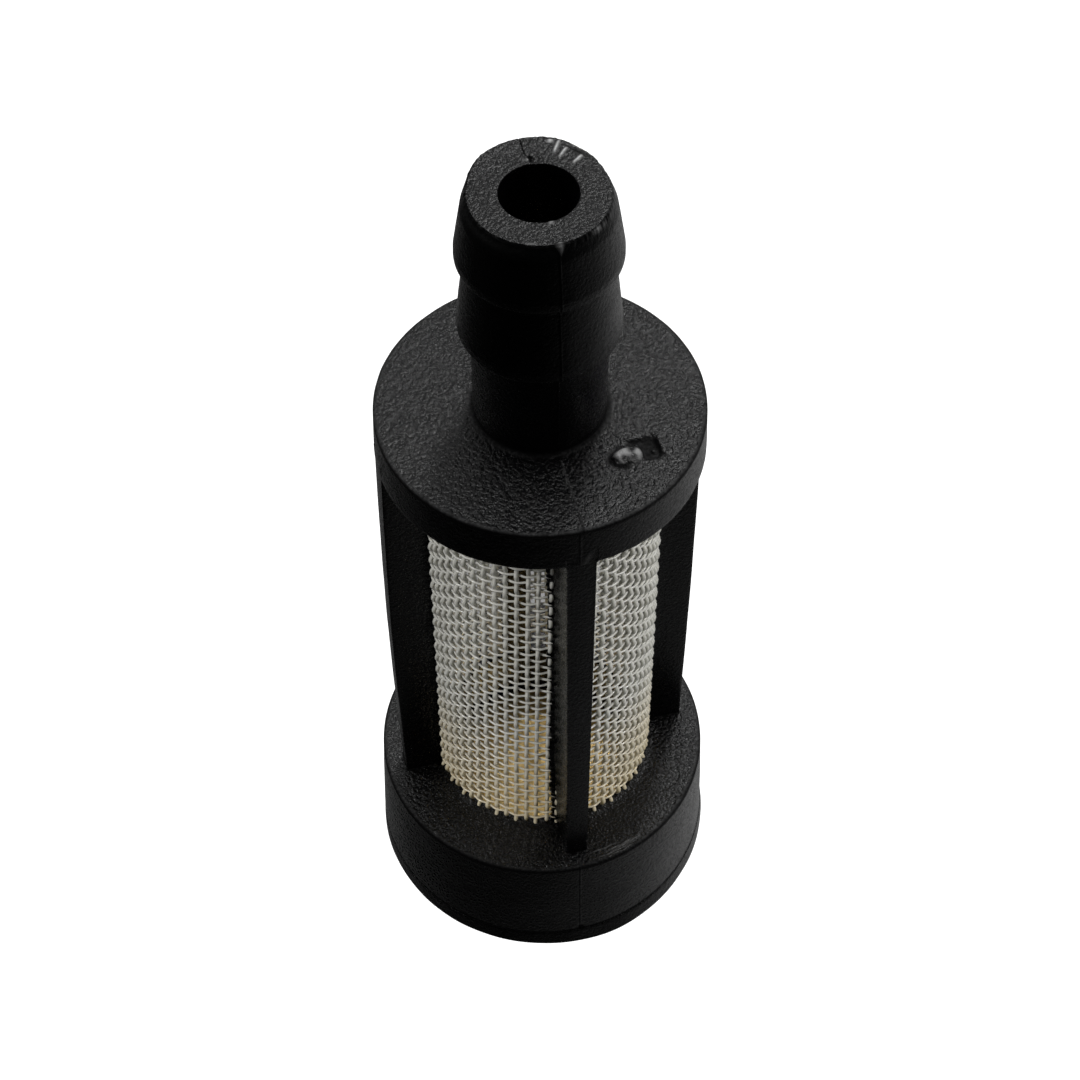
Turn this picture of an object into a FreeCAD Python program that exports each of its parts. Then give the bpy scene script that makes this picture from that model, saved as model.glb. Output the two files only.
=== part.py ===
import FreeCAD, Part
import os
import Sketcher
from FreeCAD import Placement, Rotation, Vector

# In-tank fuel filter: a moulded cage with a barbed hose tail, a woven screen,
# a brass weight and a base cap. Millimetres, +Z up along the hose tail, origin
# at the centre of the flat underside. The four ribs stand at 45 degrees, so the
# windows between them face +X, +Y, -X and -Y.

DIMENSIONS = [
    # heights along the axis
    ("cap_thickness", 1.0),
    ("base_ring_height", 5.8),
    ("window_height", 23.45),
    ("flange_thickness", 2.15),
    ("tail_length", 12.2),
    # base ring, which widens towards the cap
    ("base_top_radius", 8.0),
    ("base_bottom_radius", 8.25),
    ("weight_bore_radius", 4.9),
    # base cap and the tongue that locks it into the base ring
    ("cap_radius", 8.28),
    ("cap_edge_round", 0.25),
    ("tongue_inner_radius", 6.2),
    ("tongue_outer_radius", 7.0),
    ("tongue_height", 1.2),
    ("tongue_clearance", 0.05),
    # flange
    ("flange_radius", 7.0),
    ("rim_round", 0.15),
    ("roof_thickness", 1.15),
    # ribs: narrower towards the base, wider at the screen
    ("rib_top_width", 1.3),
    ("rib_bottom_width", 1.04),
    ("rib_root_flare", 0.1),
    ("rib_angle", 45.0),
    ("rib_count", 4),
    ("rib_embed", 0.5),
    ("rib_overrun", 0.3),
    # screen
    ("screen_outer_radius", 5.4),
    ("screen_wall", 0.38),
    ("screen_seat_depth", 1.2),
    # weight
    ("weight_radius", 4.8),
    ("weight_thickness", 2.8),
    ("weight_chamfer", 0.25),
    # hose tail
    ("bore_radius", 1.56),
    ("neck_radius", 2.82),
    ("neck_round", 0.25),
    ("neck_length", 4.85),
    ("crest_radius", 3.36),
    ("crest_land", 0.35),
    ("barb_root_radius", 3.02),
    ("barb_undercut", 0.25),
    ("barb_pitch", 4.0),
    ("nose_length", 0.9),
    ("nose_radius", 3.03),
    ("tip_radius", 2.75),
    ("tip_edge", 0.1),
    # gate mark on the flange, halfway between two ribs
    ("gate_offset", 4.95),
    ("gate_pit_radius", 0.8),
    ("gate_pit_depth", 0.12),
    ("gate_nub_radius", 0.32),
    ("gate_nub_height", 0.18),
]

# Levels worked out from the driving dimensions.
LEVELS = [
    ("shoulder_z", "=cap_thickness + base_ring_height"),
    ("flange_bottom_z", "=shoulder_z + window_height"),
    ("flange_top_z", "=flange_bottom_z + flange_thickness"),
    ("tip_z", "=flange_top_z + tail_length"),
    ("roof_z", "=flange_top_z - roof_thickness"),
    ("screen_bottom_z", "=shoulder_z - screen_seat_depth"),
    ("screen_height", "=roof_z - screen_bottom_z"),
    ("lower_step_z", "=flange_top_z + neck_length"),
    ("lower_crest_z", "=lower_step_z + barb_undercut"),
    ("lower_ramp_z", "=lower_crest_z + crest_land"),
    ("upper_step_z", "=lower_step_z + barb_pitch"),
    ("upper_crest_z", "=lower_crest_z + barb_pitch"),
    ("upper_ramp_z", "=lower_ramp_z + barb_pitch"),
    ("nose_z", "=tip_z - nose_length"),
    ("tongue_slot_z", "=cap_thickness + tongue_height + tongue_clearance"),
    ("slot_inner_radius", "=tongue_inner_radius - tongue_clearance"),
    ("slot_outer_radius", "=tongue_outer_radius + tongue_clearance"),
    ("screen_inner_radius", "=screen_outer_radius - screen_wall"),
]

doc = FreeCAD.newDocument("fuel_filter")


def make_sheet():
    sheet = doc.addObject("Spreadsheet::Sheet", "Dims")
    for row, (alias, value) in enumerate(DIMENSIONS + LEVELS, start=1):
        cell = "B%d" % row
        sheet.set("A%d" % row, alias)
        sheet.set(cell, str(value))
        sheet.setAlias(cell, alias)
    doc.recompute()
    return sheet


sheet = make_sheet()


def size(alias):
    """Value of one sheet cell, in millimetres."""
    return float(sheet.get(alias))


def value_of(expression):
    """Evaluate an expression of sheet aliases joined by + and -."""
    total = 0.0
    sign = 1.0
    for word in expression.split():
        if word == "+":
            sign = 1.0
        elif word == "-":
            sign = -1.0
        elif word[0].isdigit():
            total += sign * float(word)
        else:
            total += sign * size(word)
    return total


def bound(expression):
    """The same expression, written for the expression engine."""
    words = []
    for word in expression.split():
        plain = word in "+-" or word[0].isdigit()
        words.append(word if plain else "Dims." + word)
    return " ".join(words)


def new_body(label):
    body = doc.addObject("PartDesign::Body", label)
    body.Label = label
    body.Placement = Placement()
    return body


def origin_plane(body, role):
    for feature in body.Origin.OriginFeatures:
        if feature.Role == role:
            return feature
    raise RuntimeError("no origin feature " + role)


def new_sketch(body, name, role):
    sketch = body.newObject("Sketcher::SketchObject", name)
    sketch.AttachmentSupport = [(origin_plane(body, role), "")]
    sketch.MapMode = "FlatFace"
    return sketch


def drive(sketch, constraint, expression):
    index = sketch.addConstraint(constraint)
    sketch.setExpression("Constraints[%d]" % index, bound(expression))


def add_outline(sketch, points):
    """Closed outline; every point is a pair of expressions, across and up."""
    places = [Vector(value_of(a), value_of(b), 0) for a, b in points]
    count = len(places)
    for k in range(count):
        line = Part.LineSegment(places[k], places[(k + 1) % count])
        sketch.addGeometry(line, False)
    for k in range(count):
        joint = Sketcher.Constraint("Coincident", k, 2, (k + 1) % count, 1)
        sketch.addConstraint(joint)
    for k, (across, up) in enumerate(points):
        flat = Sketcher.Constraint("DistanceX", -1, 1, k, 1, places[k].x)
        rise = Sketcher.Constraint("DistanceY", -1, 1, k, 1, places[k].y)
        drive(sketch, flat, across)
        drive(sketch, rise, up)


def add_circle(sketch, radius, across=None):
    """Circle about the sketch origin, or about a point on its first axis."""
    centre = Vector(value_of(across) if across else 0, 0, 0)
    circle = Part.Circle(centre, Vector(0, 0, 1), value_of(radius))
    index = sketch.addGeometry(circle, False)
    if across:
        flat = Sketcher.Constraint("DistanceX", -1, 1, index, 3, centre.x)
        drive(sketch, flat, across)
        sketch.addConstraint(Sketcher.Constraint("PointOnObject", index, 3, -1))
    else:
        sketch.addConstraint(Sketcher.Constraint("Coincident", index, 3, -1, 1))
    drive(sketch, Sketcher.Constraint("Radius", index, value_of(radius)), radius)


def turned(body, kind, name, points):
    """Revolution or Groove of an outline given as radius and height."""
    sketch = new_sketch(body, name + "_outline", "XZ_Plane")
    add_outline(sketch, points)
    feature = body.newObject("PartDesign::" + kind, name)
    feature.Profile = sketch
    feature.ReferenceAxis = (sketch, ["V_Axis"])
    feature.Angle = 360
    body.Tip = feature
    doc.recompute()
    return feature


def padded(body, name, height, base, *radii, across=None):
    """Pad or stack of circles from a level, up by a height."""
    sketch = new_sketch(body, name + "_outline", "XY_Plane")
    if base:
        sketch.setExpression("AttachmentOffset.Base.z", bound(base))
    for radius in radii:
        add_circle(sketch, radius, across)
    feature = body.newObject("PartDesign::Pad", name)
    feature.Profile = sketch
    feature.setExpression("Length", bound(height))
    body.Tip = feature
    doc.recompute()
    return feature


def circle_edges(feature, radius, height):
    """Names of the circular edges with this radius at this height."""
    names = []
    for number, edge in enumerate(feature.Shape.Edges, start=1):
        curve = edge.Curve
        if not isinstance(curve, Part.Circle):
            continue
        same_radius = abs(curve.Radius - value_of(radius)) < 0.001
        if same_radius and abs(curve.Center.z - value_of(height)) < 0.001:
            names.append("Edge%d" % number)
    if not names:
        raise RuntimeError("no edge of radius %s at %s" % (radius, height))
    return names


def dressed(body, kind, name, edges, prop, expression):
    """Fillet or Chamfer on edges of the body's present tip."""
    base = body.Tip
    feature = body.newObject("PartDesign::" + kind, name)
    feature.Base = (base, edges)
    feature.setExpression(prop, bound(expression))
    body.Tip = feature
    doc.recompute()
    return feature


def check_change(before, feature, grows):
    """A feature that adds or cuts nothing shows no error, so compare volumes."""
    change = feature.Shape.Volume - before
    if (change > 0) != grows or abs(change) < 1e-6:
        raise RuntimeError("%s changes the volume by %.6f" % (feature.Name, change))


def rib_section(body, name, distance, flare):
    """Rib cross-section, on an upright plane square to the rib's direction."""
    sketch = new_sketch(body, name, "XZ_Plane")
    sketch.AttachmentOffset = Placement(Vector(), Rotation(Vector(0, 1, 0), size("rib_angle")))
    out = bound(distance)
    sketch.setExpression("AttachmentOffset.Base.x", "(%s) * sin(Dims.rib_angle)" % out)
    sketch.setExpression("AttachmentOffset.Base.z", "(%s) * cos(Dims.rib_angle)" % out)
    top = size("flange_bottom_z") + size("rib_embed")
    bottom = size("shoulder_z") - size("rib_embed")
    half_top = size("rib_top_width") / 2 + flare * size("rib_root_flare")
    half_bottom = size("rib_bottom_width") / 2 + flare * size("rib_root_flare")
    corners = [(-half_bottom, bottom), (half_bottom, bottom), (half_top, top), (-half_top, top)]
    for k in range(4):
        start = Vector(corners[k][0], corners[k][1], 0)
        end = Vector(corners[(k + 1) % 4][0], corners[(k + 1) % 4][1], 0)
        sketch.addGeometry(Part.LineSegment(start, end), False)
    for k in range(4):
        sketch.addConstraint(Sketcher.Constraint("Coincident", k, 2, (k + 1) % 4, 1))
    sketch.addConstraint(Sketcher.Constraint("Symmetric", 0, 1, 0, 2, -2))
    sketch.addConstraint(Sketcher.Constraint("Symmetric", 2, 1, 2, 2, -2))
    low_width = Sketcher.Constraint("DistanceX", 0, 1, 0, 2, 2 * half_bottom)
    high_width = Sketcher.Constraint("DistanceX", 2, 2, 2, 1, 2 * half_top)
    low = Sketcher.Constraint("DistanceY", -1, 1, 0, 1, bottom)
    high = Sketcher.Constraint("DistanceY", -1, 1, 2, 1, top)
    flares = " + rib_root_flare + rib_root_flare" if flare else ""
    drive(sketch, low_width, "rib_bottom_width" + flares)
    drive(sketch, high_width, "rib_top_width" + flares)
    drive(sketch, low, "shoulder_z - rib_embed")
    drive(sketch, high, "flange_bottom_z + rib_embed")
    return sketch


def add_ribs(body):
    root = rib_section(body, "rib_root", "screen_outer_radius - rib_overrun", 1)
    face = rib_section(body, "rib_face", "flange_radius + rib_overrun", 0)
    loft = body.newObject("PartDesign::AdditiveLoft", "rib")
    loft.Profile = root
    loft.Sections = [face]
    loft.Ruled = True
    body.Tip = loft
    doc.recompute()
    ribs = body.newObject("PartDesign::PolarPattern", "ribs")
    ribs.Originals = [loft]
    ribs.Axis = (origin_plane(body, "Z_Axis"), [""])
    ribs.Angle = 360
    ribs.setExpression("Occurrences", "Dims.rib_count")
    body.Tip = ribs
    doc.recompute()
    return ribs


def make_cage():
    body = new_body("cage")
    # hose tail, flange and the roof of the screen chamber
    turned(body, "Revolution", "head", [
        ("bore_radius", "roof_z"),
        ("screen_outer_radius", "roof_z"),
        ("screen_outer_radius", "flange_bottom_z"),
        ("flange_radius", "flange_bottom_z"),
        ("flange_radius", "flange_top_z"),
        ("neck_radius", "flange_top_z"),
        ("neck_radius", "lower_step_z"),
        ("crest_radius", "lower_crest_z"),
        ("crest_radius", "lower_ramp_z"),
        ("barb_root_radius", "upper_step_z"),
        ("crest_radius", "upper_crest_z"),
        ("crest_radius", "upper_ramp_z"),
        ("nose_radius", "nose_z"),
        ("tip_radius + tip_edge", "tip_z - tip_edge"),
        ("tip_radius", "tip_z"),
        ("bore_radius", "tip_z"),
    ])
    volume = body.Shape.Volume
    ribs = add_ribs(body)
    check_change(volume, ribs, True)
    volume = ribs.Shape.Volume
    # base ring, with the slot that takes the cap's tongue
    base = turned(body, "Revolution", "base_ring", [
        ("weight_bore_radius", "cap_thickness"),
        ("slot_inner_radius", "cap_thickness"),
        ("slot_inner_radius", "tongue_slot_z"),
        ("slot_outer_radius", "tongue_slot_z"),
        ("slot_outer_radius", "cap_thickness"),
        ("base_bottom_radius", "cap_thickness"),
        ("base_top_radius", "shoulder_z"),
        ("weight_bore_radius", "shoulder_z"),
    ])
    check_change(volume, base, True)
    volume = base.Shape.Volume
    # seat of the screen, behind the ribs and into the base ring
    seat = turned(body, "Groove", "screen_seat", [
        ("weight_bore_radius - rib_embed", "screen_bottom_z"),
        ("screen_outer_radius", "screen_bottom_z"),
        ("screen_outer_radius", "roof_z"),
        ("weight_bore_radius - rib_embed", "roof_z"),
    ])
    check_change(volume, seat, False)
    volume = seat.Shape.Volume
    # ribs trimmed flush with the flange
    trim = turned(body, "Groove", "rib_trim", [
        ("flange_radius", "shoulder_z"),
        ("flange_radius + rib_overrun + rib_overrun", "shoulder_z"),
        ("flange_radius + rib_overrun + rib_overrun", "flange_top_z"),
        ("flange_radius", "flange_top_z"),
    ])
    check_change(volume, trim, False)
    rims = circle_edges(trim, "flange_radius", "flange_top_z")
    rims += circle_edges(trim, "base_top_radius", "shoulder_z")
    dressed(body, "Fillet", "rims", rims, "Radius", "rim_round")
    neck = circle_edges(body.Tip, "neck_radius", "flange_top_z")
    dressed(body, "Fillet", "neck_fillet", neck, "Radius", "neck_round")
    volume = body.Tip.Shape.Volume
    # gate mark: a shallow round pit with a broken-off nub in it
    pit_sketch = new_sketch(body, "gate_pit_outline", "XY_Plane")
    pit_sketch.setExpression("AttachmentOffset.Base.z", "Dims.flange_top_z")
    add_circle(pit_sketch, "gate_pit_radius", "gate_offset")
    pit = body.newObject("PartDesign::Pocket", "gate_pit")
    pit.Profile = pit_sketch
    pit.setExpression("Length", "Dims.gate_pit_depth")
    body.Tip = pit
    doc.recompute()
    check_change(volume, pit, False)
    volume = pit.Shape.Volume
    nub = padded(body, "gate_nub", "gate_nub_height", "flange_top_z - gate_pit_depth",
                 "gate_nub_radius", across="gate_offset")
    check_change(volume, nub, True)
    return body


def make_screen():
    """Closed tube with the outer and inner radius of the woven sleeve."""
    body = new_body("screen")
    padded(body, "sleeve", "screen_height", "screen_bottom_z",
           "screen_outer_radius", "screen_inner_radius")
    return body


def make_weight():
    """Brass disc, chamfered on both edges, that lies on the cap."""
    body = new_body("weight")
    disc = padded(body, "disc", "weight_thickness", "cap_thickness", "weight_radius")
    edges = circle_edges(disc, "weight_radius", "cap_thickness")
    edges += circle_edges(disc, "weight_radius", "cap_thickness + weight_thickness")
    dressed(body, "Chamfer", "edges", edges, "Size", "weight_chamfer")
    return body


def make_base_cap():
    """Disc that closes the base, with a ring-shaped tongue on top."""
    body = new_body("base_cap")
    disc = padded(body, "disc", "cap_thickness", "", "cap_radius")
    volume = disc.Shape.Volume
    tongue = padded(body, "tongue", "tongue_height", "cap_thickness",
                    "tongue_inner_radius", "tongue_outer_radius")
    check_change(volume, tongue, True)
    lower_edge = circle_edges(tongue, "cap_radius", "0")
    dressed(body, "Fillet", "lower_edge", lower_edge, "Radius", "cap_edge_round")
    return body


def check_model(bodies):
    doc.recompute()
    for thing in doc.Objects:
        if "Invalid" in thing.State or "Error" in thing.State:
            raise RuntimeError("%s is in state %s" % (thing.Name, thing.State))
    for body in bodies:
        shape = body.Shape
        if shape.isNull() or not shape.isValid() or len(shape.Solids) != 1:
            raise RuntimeError("bad shape in " + body.Label)


def write_steps(bodies):
    os.makedirs("parts", exist_ok=True)
    for body in bodies:
        body.Shape.exportStep("parts/" + body.Label + ".step")
        box = body.Shape.BoundBox
        print("%-9s volume %9.3f mm3, z %.2f to %.2f" % (
            body.Label, body.Shape.Volume, box.ZMin, box.ZMax))


pieces = [make_cage(), make_screen(), make_weight(), make_base_cap()]
check_model(pieces)
write_steps(pieces)
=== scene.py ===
import math

import bpy
import numpy as np
from mathutils import Matrix, Vector


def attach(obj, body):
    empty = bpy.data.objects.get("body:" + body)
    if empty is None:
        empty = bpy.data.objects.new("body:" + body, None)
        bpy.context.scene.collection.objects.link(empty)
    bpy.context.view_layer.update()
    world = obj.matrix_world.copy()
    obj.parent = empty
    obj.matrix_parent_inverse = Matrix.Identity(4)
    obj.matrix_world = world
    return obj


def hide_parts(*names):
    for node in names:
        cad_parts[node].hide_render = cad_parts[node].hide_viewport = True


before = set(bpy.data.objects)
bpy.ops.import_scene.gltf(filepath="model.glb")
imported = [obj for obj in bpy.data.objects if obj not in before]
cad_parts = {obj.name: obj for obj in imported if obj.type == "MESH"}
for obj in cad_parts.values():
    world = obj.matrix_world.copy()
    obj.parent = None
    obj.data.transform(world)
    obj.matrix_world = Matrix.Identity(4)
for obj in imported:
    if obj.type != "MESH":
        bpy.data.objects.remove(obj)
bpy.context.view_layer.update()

MM = 0.001                        # shapes are given in millimetres

# ---------------------------------------------------------------- main sizes, mm
CAP_TOP = 1.0
SHOULDER = 6.8
FLANGE_LOW = 30.25
ROOF = 31.25
FLANGE_TOP = 32.4
TIP = 44.6
BORE_R = 1.56
SCREEN_R = 5.21                   # middle of the woven cloth
RIB_IN_R = 4.99
FLANGE_R = 7.0
PART_ANGLE = math.radians(-44.2)  # parting line, in line with the front and back ribs
MOULD_STEP = math.radians(1.3)    # turn between the mould parts above and below the flange's top
CAMERA_AZIMUTH = 31.3             # degrees from -Y towards +X
CAMERA_ELEVATION = 52.9
CAMERA_ROLL = -0.355
CAMERA_PLACE = Vector((0.033185, -0.054658, 0.107434))   # m


def seen_from(degrees):
    """Polar angle of a direction this many degrees to the right of the camera's side."""
    return math.radians(CAMERA_AZIMUTH + degrees - 90.0)


def direction(azimuth, elevation):
    """Unit vector this many degrees round from the camera's side and above the level."""
    angle, rise = seen_from(azimuth), math.radians(elevation)
    return Vector((math.cos(angle) * math.cos(rise), math.sin(angle) * math.cos(rise), math.sin(rise)))


def wrap(angle):
    return (angle + math.pi) % (2 * math.pi) - math.pi


# ---------------------------------------------------------------- smooth seeded noise
PERIOD = 64
LATTICE = np.random.default_rng(7).uniform(-1, 1, (PERIOD, PERIOD, PERIOD))


def noise3(x, y, z):
    """Smooth value noise in three dimensions, about -1 to 1."""
    total = 0.0
    xi, yi, zi = (np.floor(v).astype(int) for v in (x, y, z))
    fx, fy, fz = (v - np.floor(v) for v in (x, y, z))
    fx, fy, fz = (f * f * (3 - 2 * f) for f in (fx, fy, fz))
    for a in (0, 1):
        for b in (0, 1):
            for c in (0, 1):
                weight = (fx if a else 1 - fx) * (fy if b else 1 - fy) * (fz if c else 1 - fz)
                total = total + weight * LATTICE[(xi + a) % PERIOD, (yi + b) % PERIOD, (zi + c) % PERIOD]
    return total


def bell(x, width):
    """1 at x = 0, falling smoothly to almost nothing at twice the width."""
    return np.exp(-(x / width) ** 2)


def ramp(x, low, high):
    """0 up to low, 1 from high on, and smooth between them."""
    t = np.clip((x - low) / (high - low), 0, 1)
    return t * t * (3 - 2 * t)


# ---------------------------------------------------------------- profiles
def rounded(corners, step):
    """Closed outline from (r, z, fillet) corners, with arcs at the corners, and
    points on each stretch p to q no further apart than step(p, q)."""
    count = len(corners)
    points = []
    for k in range(count):
        here = np.array(corners[k][:2], float)
        before = np.array(corners[k - 1][:2], float)
        after = np.array(corners[(k + 1) % count][:2], float)
        fillet = corners[k][2]
        u = (before - here) / np.linalg.norm(before - here)
        v = (after - here) / np.linalg.norm(after - here)
        angle = math.acos(max(-1, min(1, float(u @ v))))
        if fillet <= 0 or angle > math.pi - 0.02:
            points.append(here)
            continue
        reach = fillet / math.tan(angle / 2)
        middle = here + (u + v) / np.linalg.norm(u + v) * fillet / math.sin(angle / 2)
        start, end = here + u * reach, here + v * reach
        a0 = math.atan2(*(start - middle)[::-1])
        turn = wrap(math.atan2(*(end - middle)[::-1]) - a0)
        parts = max(3, int(abs(turn) / math.radians(18)))
        for i in range(parts + 1):
            a = a0 + turn * i / parts
            points.append(middle + fillet * np.array([math.cos(a), math.sin(a)]))
    dense = []
    for k, p in enumerate(points):
        q = points[(k + 1) % len(points)]
        length = np.linalg.norm(q - p)
        parts = max(1, int(math.ceil(length / step(p, q))))
        dense += [p + (q - p) * i / parts for i in range(parts)]
    return np.array(dense)


def outline_normals(points):
    """Outward normals of a closed outline that runs anticlockwise in (r, z)."""
    ahead = np.roll(points, -1, 0) - points
    behind = points - np.roll(points, 1, 0)
    ahead /= np.linalg.norm(ahead, axis=1)[:, None]
    behind /= np.linalg.norm(behind, axis=1)[:, None]
    along = ahead + behind
    along /= np.linalg.norm(along, axis=1)[:, None]
    return np.stack([along[:, 1], -along[:, 0]], 1)


def columns(base_count, fine):
    """Polar angles round the axis: an even set plus finer zones (centre, half, step)."""
    angles = [2 * math.pi * k / base_count - math.pi for k in range(base_count)]
    for centre, half, step in fine:
        inner = [a for a in angles if abs(wrap(a - centre)) > half + step / 2]
        count = int(round(2 * half / step))
        angles = inner + [wrap(centre - half + 2 * half * i / count) for i in range(count + 1)]
    return np.array(sorted(angles))


# ---------------------------------------------------------------- mesh making
def make_object(name, verts, faces, wear_and_highlight=None):
    mesh = bpy.data.meshes.new(name)
    mesh.from_pydata([tuple(v) for v in np.asarray(verts) * MM], [], faces)
    mesh.validate()
    mesh.polygons.foreach_set("use_smooth", [True] * len(mesh.polygons))
    if wear_and_highlight is not None:
        layer = mesh.attributes.new("wear_and_highlight", "FLOAT", "POINT")
        layer.data.foreach_set("value", np.asarray(wear_and_highlight, np.float32))
    obj = bpy.data.objects.new(name, mesh)
    bpy.context.scene.collection.objects.link(obj)
    return obj


def grid_faces(rows, cols, close_rows, close_cols):
    faces = []
    for i in range(rows if close_rows else rows - 1):
        for j in range(cols if close_cols else cols - 1):
            a, b = i * cols + j, i * cols + (j + 1) % cols
            c, d = ((i + 1) % rows) * cols + (j + 1) % cols, ((i + 1) % rows) * cols + j
            faces.append((a, b, c, d))
    return faces


def lathe(name, outline, angles, shape=None):
    """Closed ring made by turning an outline. shape(r, z, angle, nr, nz) returns
    (push along the normal, extra r, extra z, wear with a painted highlight) for every point."""
    normals = outline_normals(outline)
    r = np.repeat(outline[:, 0][:, None], len(angles), 1)
    z = np.repeat(outline[:, 1][:, None], len(angles), 1)
    nr = np.repeat(normals[:, 0][:, None], len(angles), 1)
    nz = np.repeat(normals[:, 1][:, None], len(angles), 1)
    a = np.repeat(angles[None, :], len(outline), 0)
    wear_and_highlight = np.zeros_like(r)
    if shape:
        push, dr, dz, wear_and_highlight = shape(r, z, a, nr, nz)
        r, z = r + nr * push + dr, z + nz * push + dz
    verts = np.stack([r * np.cos(a), r * np.sin(a), z], -1).reshape(-1, 3)
    faces = grid_faces(len(outline), len(angles), True, True)
    return make_object(name, verts, faces, wear_and_highlight.reshape(-1) * np.ones(len(verts)))


def solid_disc(name, outline, angles, shape=None):
    """Closed solid from an open outline that starts and ends on the axis."""
    inner = outline[1:-1]
    r = np.repeat(inner[:, 0][:, None], len(angles), 1)
    z = np.repeat(inner[:, 1][:, None], len(angles), 1)
    a = np.repeat(angles[None, :], len(inner), 0)
    if shape:
        r, z = shape(r, z, a)
    verts = np.stack([r * np.cos(a), r * np.sin(a), z], -1).reshape(-1, 3)
    faces = grid_faces(len(inner), len(angles), False, True)
    cols = len(angles)
    low, high = len(verts), len(verts) + 1
    verts = np.vstack([verts, [0, 0, outline[0][1]], [0, 0, outline[-1][1]]])
    last = (len(inner) - 1) * cols
    for j in range(cols):
        faces.append((low, (j + 1) % cols, j))
        faces.append((high, last + j, last + (j + 1) % cols))
    return make_object(name, verts, faces)


# ---------------------------------------------------------------- small marks on the moulding
# pale scuffs of the end face: degrees round, radius, length, width, tilt
SCUFFS = [(164.6, 2.46, 0.22, 0.05, 0.10), (156.9, 2.30, 0.2, 0.05, 0.16),
          (140.5, 2.30, 0.22, 0.055, 0.02), (171.0, 2.6, 0.06, 0.09, 0.2)]
# light nicks of its edges: degrees round, radius, length, width, paleness
NICKS = [(50.0, 2.86, 0.05, 0.2, 0.6), (58.0, 2.9, 0.05, 0.16, 0.5), (43.0, 2.93, 0.04, 0.12, 0.5),
         (16.0, 1.62, 0.07, 0.1, 0.4), (-6.0, 2.72, 0.05, 0.2, 0.3)]
# scratches on the base ring's shoulder: degrees round, span in degrees, radius
SCRATCHES = [(27, 7, 7.72), (30, 6, 7.55), (24, 5, 7.35), (29, 8, 7.85), (33, 5, 7.62)]
GATE_ANGLE = seen_from(51.2)      # middle of the gate mark on the flange
GATE_R = 4.62


class Marks:
    """What the small marks do to the points of a turned shape: shifts in mm, and
    how pale and how dull the plastic is, from 0 to 1."""

    def __init__(self, r):
        self.push, self.dr, self.dz = np.zeros_like(r), np.zeros_like(r), np.zeros_like(r)
        self.pale, self.dull = np.zeros_like(r), np.zeros_like(r)

    def add_pale(self, amount):
        self.pale = np.maximum(self.pale, amount)

    def add_dull(self, amount):
        self.dull = np.maximum(self.dull, amount)

    def result(self):
        """The shifts and the wear, which also holds a painted highlight: pale above zero, dull below it.
        """
        wear_and_highlight = np.where(self.dull > 2 * self.pale, -self.dull, self.pale)
        return self.push, self.dr, self.dz, wear_and_highlight


def parting_ridge(r, z, a, height, width):
    """Fine ridge along the parting line, front and back. Below the flange's top
    it belongs to another mould part and stands a little to one side."""
    turned = a + np.where(z < FLANGE_TOP - 0.12, MOULD_STEP, 0)
    side = 0.0
    for line in (PART_ANGLE, PART_ANGLE + math.pi):
        side = side + bell(r * wrap(turned - line), width)
    return height * side


def mould_lines(marks, r, z, a, nr, nz):
    """Waviness of the skin, the parting line, and the step beside it on the tail."""
    x, y = r * np.cos(a), r * np.sin(a)
    outside = (nr > 0.3) | (nz > 0.3)
    wavy = 0.012 * noise3(x / 1.7 + 20, y / 1.7 + 20, z / 1.7)
    wavy = wavy + 0.006 * noise3(x / 0.6 + 9, y / 0.6, z / 0.6)
    marks.push = marks.push + np.where(outside, wavy, 0)

    # whole and sharp on the flange's top, broken elsewhere
    on_top = (nz > 0.7) & (r > 3.1)
    broken = 0.55 + 0.45 * noise3(x * 1.9 + 3, y * 1.9, z * 1.3)
    ridge = parting_ridge(r, z, a, 0.028, 0.045)
    ridge = np.where(on_top, 2.0 * ridge, ridge * broken)
    marks.push = marks.push + np.where(outside & (z < TIP - 0.06), ridge, 0)

    # the two mould halves do not quite meet
    from_line = r * wrap(a - PART_ANGLE)
    beside = ramp(from_line, -0.02, 0.03) * ramp(-from_line, -1.1, -0.2)
    on_tail = outside & (z > FLANGE_TOP + 0.3) & (nr > 0.5)
    marks.push = marks.push + np.where(on_tail, 0.022 * beside, 0)


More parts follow.
